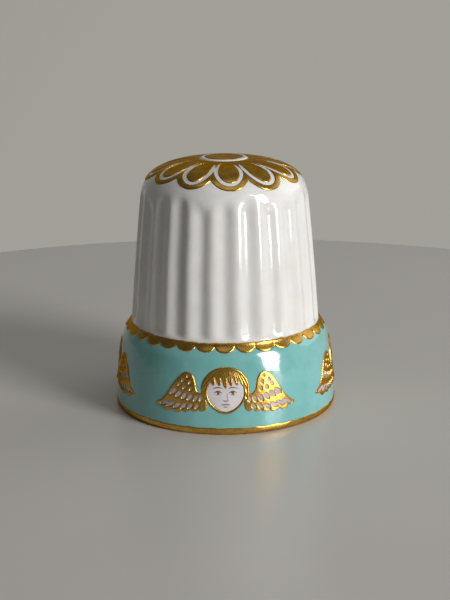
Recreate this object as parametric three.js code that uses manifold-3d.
// A bone-china thimble in its own frame: millimetres, +Z up, origin at the centre of the foot.
//
// The china body is a fluted, tapering shell with a rounded crown and a hollow for the finger.
// Its decoration is a set of fired coats: a turquoise band, gilt borders, four winged heads on
// the band and a gilt rosette on the crown. Each coat is a thin plate that follows the body's
// outline and stands a little way off whatever lies beneath it.
//
// The front of the thimble faces -Y. Angles round the axis are measured from the front towards +X.

import * as THREE from 'three';
import { mergeVertices } from 'three/addons/utils/BufferGeometryUtils.js';
import Module from 'manifold-3d';

const wasm = await Module();
wasm.setup();

const DEGREE = Math.PI / 180;
const at = (radius, height) => new THREE.Vector2(radius, height);

// Outline of the china, as radius and height at the places where its curves meet.
const FOOT_FLAT = at(11.6, 0);
const FOOT_EDGE = at(12.1, 0.6);
const SKIRT_HEAD = at(11.28, 7.7);
const WALL_FOOT = at(10.32, 9.5);
const WALL_HEAD = at(9.12, 22.8);
const CROWN_TOP = at(0, 27.05);

// The raised, flat-topped medallion in the middle of the crown: where it starts on the crown's
// curve, how far it rises and how far its edge slopes in.
const MEDALLION_PLACE = 0.87;
const MEDALLION_RISE = 0.16;
const MEDALLION_BEVEL = 0.15;

// Flutes of the wall: how many, how deep, and the heights between which they rise and fade.
const FLUTE_COUNT = 24;
const FLUTE_DEPTH = 0.25;
const FLUTE_FOOT = [9.4, 10.2];
const FLUTE_HEAD = [21.2, 23.4];

// The hollow for the finger: a tapering bore with a domed top and an eased mouth.
const MOUTH_RADIUS = 9.7;
const MOUTH_EASE = 0.5;
const BORE_FOOT = at(9.3, 0.5);
const BORE_HEAD = at(7.2, 19.5);
const BORE_TOP = 24.6;
const BORE_OVERRUN = 1;

// Coats: how far the two faces of each layer stand off the china.
const FIRST_LAYER = [0.06, 0.13];
const SECOND_LAYER = [0.18, 0.25];
const THIRD_LAYER = [0.3, 0.37];

// The rosette on the crown, seen from above.
const PETAL_COUNT = 12;
const ROSETTE_TURN = 4.5 * DEGREE;
const ROSETTE_TIP = 8.3;
const ROSETTE_CUSP = 7.5;
const PETAL_TIP = 7.5;
const PETAL_ROOT = 3.2;
const PETAL_SHOULDER = 6.5;
const PETAL_HALF_WIDTHS = { root: 0.5, shoulder: 1.12 };
const PETAL_MARGINS = { root: 0.12, shoulder: 0.42 };
const NO_MARGINS = { root: 0, shoulder: 0 };
const DISC_RADIUS = 1.95;

// The scallop border: how many lobes, and its heights along the step curve as parts of that curve.
const LOBE_COUNT = 32;
const LOBE_COLUMNS = 3;
const LOBE_LOW = 0.36;
const LOBE_CUSP = 0.62;
const LOBE_TOP = 0.93;

// The four winged heads: where they stand round the band, and the wings' middle angle.
const HEAD_ANGLES = { front: 0, right: 90 * DEGREE, back: 180 * DEGREE, left: 270 * DEGREE };
const HEAD_CENTRE_HEIGHT = 4.6;
const HAIR_RADII = [2.5, 2.45];
const WING_ANGLE = 23 * DEGREE;

// The face inside a head, by the usual proportions of a drawn head. It is three quarters as wide as
// the head, and the hair above it and the outline below it are shares of the head's height. The
// white ground under it is a smaller copy of the head's own outline.
const FACE_WIDTH_SHARE = 0.75;
const HAIR_SHARE = 0.3;
const CHIN_LINE_SHARE = 1 / 16;
const GROUND_SHARE = 0.88;

// Rings round the axis: the body has four columns to a flute, and the coats have half as many.
const BODY_COLUMNS = FLUTE_COUNT * 4;
const COAT_COLUMNS = BODY_COLUMNS / 2;
const BORE_COLUMNS = 36;
const STENCIL_START = 8;
const STENCIL_DEPTH = 6;
const CURVE_STEPS = 4;

// Curves of the outline, from the foot up to the top of the crown.
const footRound = new THREE.QuadraticBezierCurve(FOOT_FLAT, at(FOOT_EDGE.x, 0), FOOT_EDGE);
const skirt = new THREE.QuadraticBezierCurve(FOOT_EDGE, at(11.97, 4.2), SKIRT_HEAD);
const step = new THREE.CubicBezierCurve(SKIRT_HEAD, at(11.1, 8.6), at(10.4, 8.9), WALL_FOOT);
const wall = new THREE.QuadraticBezierCurve(WALL_FOOT, at(9.85, 16), WALL_HEAD);
const crown = new THREE.CubicBezierCurve(WALL_HEAD, at(8.85, 25.4), at(7.3, CROWN_TOP.y), CROWN_TOP);

const medallionFoot = crown.getPoint(MEDALLION_PLACE);
const MEDALLION_TOP = medallionFoot.y + MEDALLION_RISE;

// Places along each curve, from 0 to 1, that get a row of vertices.
const FOOT_ROWS = [0, 0.5, 1];
const SKIRT_ROWS = [0.33, 0.67, 1];
const STEP_ROWS = [0.25, 0.5, 0.75, 1];
const WALL_ROWS = [0.06, 0.45, 0.88, 1];
const CROWN_ROWS = [0.14, 0.26, 0.37, 0.47, 0.57, 0.68, 0.78, 0.85];
const FOOT_LINE_ROWS = [0.42, 1];
const BAND_SKIRT_ROWS = [0.05, 0.35, 0.67, 1];
const BAND_STEP_ROWS = [0.25, 0.5, 0.75, 0.9];
const HEAD_ROWS = [0.12, 0.54, 0.96];
const ROSETTE_ROWS = [0.2, ...CROWN_ROWS.slice(1)];

// A point that stands off a curve of the outline, along its outward normal.
function offsetPoint(curve, place, offset) {
  const tangent = curve.getTangent(place);
  const point = curve.getPoint(place);
  return point.add(new THREE.Vector2(tangent.y, -tangent.x).multiplyScalar(offset));
}

// Turns a lathe's Y axis to +Z, which puts its first column at the front.
function upright(geometry) {
  return geometry.rotateX(Math.PI / 2);
}

function revolve(profile, columns) {
  return upright(new THREE.LatheGeometry(profile, columns));
}

// A closed solid for cutting and joining, from a three.js geometry.
function toSolid(geometry) {
  const bare = geometry.clone();
  bare.deleteAttribute('normal');
  bare.deleteAttribute('uv');
  const merged = mergeVertices(bare, 1e-5);
  return new wasm.Manifold(new wasm.Mesh({
    numProp: 3,
    vertProperties: new Float32Array(merged.attributes.position.array),
    triVerts: new Uint32Array(merged.index.array),
  }));
}

function toGeometry(solid) {
  const mesh = solid.getMesh();
  const geometry = new THREE.BufferGeometry();
  geometry.setAttribute('position', new THREE.BufferAttribute(mesh.vertProperties, 3));
  geometry.setIndex(new THREE.BufferAttribute(mesh.triVerts, 1));
  geometry.computeVertexNormals();
  return geometry;
}

// How deep a flute is cut at an angle and a height: full between its ends, easing out at both.
function fluteDepth(angle, height) {
  const wave = (1 + Math.cos(FLUTE_COUNT * angle)) / 2;
  const rise = THREE.MathUtils.smoothstep(height, ...FLUTE_FOOT);
  const fade = 1 - THREE.MathUtils.smoothstep(height, ...FLUTE_HEAD);
  return FLUTE_DEPTH * wave * rise * fade;
}

function cutFlutes(geometry) {
  const position = geometry.attributes.position;
  for (let i = 0; i < position.count; i += 1) {
    const radius = Math.hypot(position.getX(i), position.getY(i));
    const angle = Math.atan2(position.getX(i), -position.getY(i));
    const cut = Math.max(radius - fluteDepth(angle, position.getZ(i)), 0);
    position.setXY(i, cut * Math.sin(angle), -cut * Math.cos(angle));
  }
  return geometry;
}

// Outside of the china: every row of the outline, then the small raised medallion.
function bodyProfile() {
  const rows = [
    at(0, 0),
    ...FOOT_ROWS.map((place) => footRound.getPoint(place)),
    ...SKIRT_ROWS.map((place) => skirt.getPoint(place)),
    ...STEP_ROWS.map((place) => step.getPoint(place)),
    ...WALL_ROWS.map((place) => wall.getPoint(place)),
    ...CROWN_ROWS.map((place) => crown.getPoint(place)),
  ];
  return [
    ...rows,
    medallionFoot,
    at(medallionFoot.x - MEDALLION_BEVEL, MEDALLION_TOP),
    at(0, MEDALLION_TOP),
  ];
}

// The hollow, from below the foot to its domed top.
function boreProfile() {
  const dome = new THREE.CubicBezierCurve(
    BORE_HEAD, at(6.9, 22.5), at(4.5, BORE_TOP), at(0, BORE_TOP),
  );
  return [
    at(0, -BORE_OVERRUN),
    at(MOUTH_RADIUS, -BORE_OVERRUN),
    at(MOUTH_RADIUS, 0),
    at(BORE_FOOT.x, MOUTH_EASE),
    ...dome.getPoints(6),
  ];
}

function chinaBody() {
  const outside = toSolid(cutFlutes(revolve(bodyProfile(), BODY_COLUMNS)));
  const hollow = toSolid(revolve(boreProfile(), BORE_COLUMNS));
  return toGeometry(outside.subtract(hollow));
}

// A coat that goes all the way round, over stretches of the outline listed from low to high.
function coatRing(stretches, [near, far]) {
  const places = stretches.flatMap(({ curve, rows }) => rows.map((place) => ({ curve, place })));
  const outside = places.map(({ curve, place }) => offsetPoint(curve, place, far));
  const inside = places.map(({ curve, place }) => offsetPoint(curve, place, near)).reverse();
  return revolve([...outside, ...inside, outside[0]], COAT_COLUMNS);
}

const footLine = () => coatRing([
  { curve: footRound, rows: FOOT_LINE_ROWS },
  { curve: skirt, rows: [0.03] },
], FIRST_LAYER);

const bandStretches = [
  { curve: skirt, rows: BAND_SKIRT_ROWS },
  { curve: step, rows: BAND_STEP_ROWS },
];

// The scallop border: a ring on the step curve whose lower edge swings down into lobes.
function scallopBorder() {
  const [near, far] = SECOND_LAYER;
  const corners = [[0, far], [0.5, far], [1, far], [1, near], [0.5, near], [0, near], [0, far]];
  const ring = new THREE.LatheGeometry(corners.map(() => at(1, 1)), LOBE_COUNT * LOBE_COLUMNS);
  const position = ring.attributes.position;
  for (let i = 0; i < position.count; i += 1) {
    const column = Math.floor(i / corners.length);
    const [part, offset] = corners[i % corners.length];
    const angle = (column * 2 * Math.PI) / (LOBE_COUNT * LOBE_COLUMNS);
    const low = column % LOBE_COLUMNS === 0 ? LOBE_CUSP : LOBE_LOW;
    const { x: radius, y: height } = offsetPoint(step, THREE.MathUtils.lerp(low, LOBE_TOP, part), offset);
    position.setXYZ(i, radius * Math.sin(angle), height, radius * Math.cos(angle));
  }
  return upright(ring);
}

// A prism that points out from the axis at an angle, for cutting a coat to an outline drawn
// with x along the band and y up it.
function bandStencil(shape, angle) {
  const prism = new THREE.ExtrudeGeometry(shape, {
    depth: STENCIL_DEPTH, bevelEnabled: false, curveSegments: CURVE_STEPS,
  });
  return toSolid(prism.translate(0, 0, STENCIL_START).rotateX(Math.PI / 2).rotateZ(angle));
}

// A prism that stands on the crown, for an outline drawn with x to the right and y to the back.
function crownStencil(shape) {
  const prism = new THREE.ExtrudeGeometry(shape, {
    depth: STENCIL_DEPTH, bevelEnabled: false, curveSegments: CURVE_STEPS,
  });
  return toSolid(prism.translate(0, 0, CROWN_TOP.y - STENCIL_DEPTH + 1));
}

function ellipseShape(height, [across, tall]) {
  return new THREE.Shape().absellipse(0, height, across, tall, 0, 2 * Math.PI);
}

// A wing that spreads to the right: a tall rounded lobe, a pointed tip and a scalloped lower edge.
function wingShape(side) {
  const x = (across) => side * across;
  return new THREE.Shape()
    .moveTo(x(-2.5), 3.1)
    .lineTo(x(-2.4), 4.5)
    .quadraticCurveTo(x(-1.9), 4.2, x(-1.5), 4.8)
    .bezierCurveTo(x(-1.4), 6.9, x(0.1), 6.8, x(0.5), 5.7)
    .quadraticCurveTo(x(1.4), 3.8, x(2.8), 2.8)
    .quadraticCurveTo(x(2.6), 2.3, x(1.7), 2.4)
    .quadraticCurveTo(x(1.1), 1.9, x(0.5), 2.4)
    .quadraticCurveTo(x(-0.2), 1.9, x(-0.8), 2.5)
    .quadraticCurveTo(x(-1.6), 2.1, x(-2.0), 2.7)
    .lineTo(x(-2.5), 3.1);
}

// A petal's fill, from its narrow root to its round tip, with a margin left round it where asked.
function petalShape(margins) {
  const root = PETAL_HALF_WIDTHS.root + margins.root;
  const shoulder = PETAL_HALF_WIDTHS.shoulder + margins.shoulder;
  const bottom = PETAL_ROOT - margins.root;
  const tipRise = PETAL_TIP - PETAL_SHOULDER + margins.shoulder;
  return new THREE.Shape()
    .moveTo(-root, bottom)
    .lineTo(root, bottom)
    .lineTo(shoulder, PETAL_SHOULDER)
    .absellipse(0, PETAL_SHOULDER, shoulder, tipRise, 0, Math.PI)
    .lineTo(-root, bottom);
}

const petalTurn = (index) => ROSETTE_TURN + Math.PI + (index * 2 * Math.PI) / PETAL_COUNT;

// Outer edge of the rosette: one rounded lobe for each petal.
function rosetteShape() {
  const shape = new THREE.Shape();
  for (let i = 0; i < PETAL_COUNT * CURVE_STEPS; i += 1) {
    const angle = (i * 2 * Math.PI) / (PETAL_COUNT * CURVE_STEPS);
    const swell = Math.sin(((i % CURVE_STEPS) * Math.PI) / CURVE_STEPS);
    const radius = THREE.MathUtils.lerp(ROSETTE_CUSP, ROSETTE_TIP, swell);
    const turned = angle + ROSETTE_TURN - Math.PI / PETAL_COUNT;
    const point = [radius * Math.sin(turned), -radius * Math.cos(turned)];
    if (i === 0) shape.moveTo(...point);
    else shape.lineTo(...point);
  }
  return shape.closePath();
}

const crownCoat = toSolid(coatRing([{ curve: crown, rows: ROSETTE_ROWS }], FIRST_LAYER));
const rotated = (solid, angle) => solid.rotate([0, 0, angle / DEGREE]);

function rosetteBorder() {
  let solid = crownCoat.intersect(crownStencil(rosetteShape()));
  const opening = crownStencil(petalShape(PETAL_MARGINS));
  for (let i = 0; i < PETAL_COUNT; i += 1) {
    solid = solid.subtract(rotated(opening, petalTurn(i)));
  }
  return toGeometry(solid);
}

function petal(index) {
  const stencil = crownStencil(petalShape(NO_MARGINS));
  return toGeometry(crownCoat.intersect(rotated(stencil, petalTurn(index))));
}

function crownDisc() {
  const [near, far] = FIRST_LAYER;
  return revolve([
    at(0, MEDALLION_TOP + near),
    at(DISC_RADIUS, MEDALLION_TOP + near),
    at(DISC_RADIUS, MEDALLION_TOP + far),
    at(0, MEDALLION_TOP + far),
  ], COAT_COLUMNS);
}

const headStretch = [{ curve: skirt, rows: HEAD_ROWS }];
const secondCoat = toSolid(coatRing(headStretch, SECOND_LAYER));
const thirdCoat = toSolid(coatRing(headStretch, THIRD_LAYER));

function faceGround(angle) {
  const shape = ellipseShape(HEAD_CENTRE_HEIGHT, HAIR_RADII.map((radius) => radius * GROUND_SHARE));
  return toGeometry(secondCoat.intersect(bandStencil(shape, angle)));
}

// Hair and chin outline: one gilt shape with an opening that shows the face.
function giltHair(angle) {
  const shape = ellipseShape(HEAD_CENTRE_HEIGHT, HAIR_RADII);
  const [halfWidth, halfHeight] = HAIR_RADII;
  const hairline = halfHeight * (1 - 2 * HAIR_SHARE);
  const chin = halfHeight * (2 * CHIN_LINE_SHARE - 1);
  const height = HEAD_CENTRE_HEIGHT + (hairline + chin) / 2;
  const radii = [halfWidth * FACE_WIDTH_SHARE, (hairline - chin) / 2];
  shape.holes.push(ellipseShape(height, radii));
  return toGeometry(thirdCoat.intersect(bandStencil(shape, angle)));
}

function giltWing(angle, side) {
  return toGeometry(secondCoat.intersect(bandStencil(wingShape(side), angle + side * WING_ANGLE)));
}

function finish(color, roughness, metalness) {
  return new THREE.MeshStandardMaterial({ color, roughness, metalness });
}

const CHINA = finish(0xe9e8e6, 0.15, 0);
const TURQUOISE = finish(0x86c9c2, 0.18, 0);
const GILT = finish(0xc8942f, 0.25, 1);
const FACE_WHITE = finish(0xe6e1e6, 0.2, 0);

const thimble = new THREE.Group();

function addPiece(name, geometry, material) {
  const mesh = new THREE.Mesh(geometry, material);
  mesh.name = name;
  thimble.add(mesh);
}

addPiece('china_body', chinaBody(), CHINA);
addPiece('enamel_band', coatRing(bandStretches, FIRST_LAYER), TURQUOISE);
addPiece('gilt_foot_line', footLine(), GILT);
addPiece('gilt_scallop_border', scallopBorder(), GILT);
addPiece('gilt_rosette_border', rosetteBorder(), GILT);
for (let i = 0; i < PETAL_COUNT; i += 1) {
  addPiece(`gilt_petal_${String(i + 1).padStart(2, '0')}`, petal(i), GILT);
}
addPiece('gilt_crown_disc', crownDisc(), GILT);
for (const [place, angle] of Object.entries(HEAD_ANGLES)) {
  addPiece(`${place}_face_ground`, faceGround(angle), FACE_WHITE);
  addPiece(`${place}_gilt_hair`, giltHair(angle), GILT);
  addPiece(`${place}_gilt_wing_a`, giltWing(angle, -1), GILT);
  addPiece(`${place}_gilt_wing_b`, giltWing(angle, 1), GILT);
}

export default thimble;
